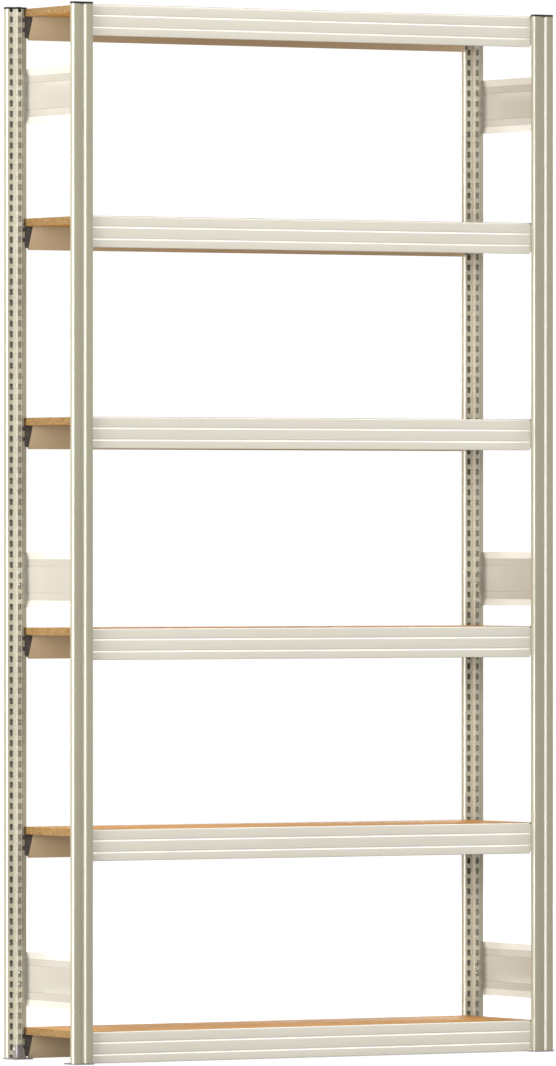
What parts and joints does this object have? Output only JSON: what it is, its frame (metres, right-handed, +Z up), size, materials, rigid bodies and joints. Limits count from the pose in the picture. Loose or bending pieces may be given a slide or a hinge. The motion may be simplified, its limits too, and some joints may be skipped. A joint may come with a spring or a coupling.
{
  "type": "boltless shelving bay",
  "caption": "Tall boltless stock shelving bay with slotted steel uprights, hooked ribbed beams, lift-out chipboard decks, folded side ties, end caps and foot plates.",
  "frame": {"origin": "centre of the bay's plan at floor level, on the underside of the foot plates", "axes": "+Z up along the uprights, +X to the right along the beams, -Y towards the front"},
  "size_m": [1.3368, 0.348, 2.5082],
  "materials": {
    "frame": "light grey gloss powder coat",
    "beam": "light grey gloss powder coat",
    "deck": "raw chipboard",
    "cap": "moulded black plastic",
    "foot": "zinc plated sheet",
    "bolt": "zinc plated"
  },
  "bodies": {
    "frame": {"upright_front_left": "frame", "cap_front_left": "cap", "foot_front_left": "foot", "foot_bolt_front_left": "bolt", "upright_front_right": "frame", "cap_front_right": "cap", "foot_front_right": "foot", "foot_bolt_front_right": "bolt", "upright_rear_left": "frame", "cap_rear_left": "cap", "foot_rear_left": "foot", "foot_bolt_rear_left": "bolt", "upright_rear_right": "frame", "cap_rear_right": "cap", "foot_rear_right": "foot", "foot_bolt_rear_right": "bolt", "beam_front_1": "beam", "beam_rear_1": "beam", "beam_front_2": "beam", "beam_rear_2": "beam", "beam_front_3": "beam", "beam_rear_3": "beam", "beam_front_4": "beam", "beam_rear_4": "beam", "beam_front_5": "beam", "beam_rear_5": "beam", "beam_front_6": "beam", "beam_rear_6": "beam", "tie_left_1": "frame", "tie_right_1": "frame", "tie_left_2": "frame", "tie_right_2": "frame", "tie_left_3": "frame", "tie_right_3": "frame"},
    "deck_1_board": {"deck_1": "deck"},
    "deck_2_board": {"deck_2": "deck"},
    "deck_3_board": {"deck_3": "deck"},
    "deck_4_board": {"deck_4": "deck"},
    "deck_5_board": {"deck_5": "deck"},
    "deck_6_board": {"deck_6": "deck"}
  },
  "joints": [
    {"name": "deck_1_lift", "type": "slide", "parent": "frame", "child": "deck_1_board", "axis": [0, 0, 1], "range_m": [0, 0.045]},
    {"name": "deck_2_lift", "type": "slide", "parent": "frame", "child": "deck_2_board", "axis": [0, 0, 1], "range_m": [0, 0.045]},
    {"name": "deck_3_lift", "type": "slide", "parent": "frame", "child": "deck_3_board", "axis": [0, 0, 1], "range_m": [0, 0.045]},
    {"name": "deck_4_lift", "type": "slide", "parent": "frame", "child": "deck_4_board", "axis": [0, 0, 1], "range_m": [0, 0.045]},
    {"name": "deck_5_lift", "type": "slide", "parent": "frame", "child": "deck_5_board", "axis": [0, 0, 1], "range_m": [0, 0.045]},
    {"name": "deck_6_lift", "type": "slide", "parent": "frame", "child": "deck_6_board", "axis": [0, 0, 1], "range_m": [0, 0.045]}
  ]
}
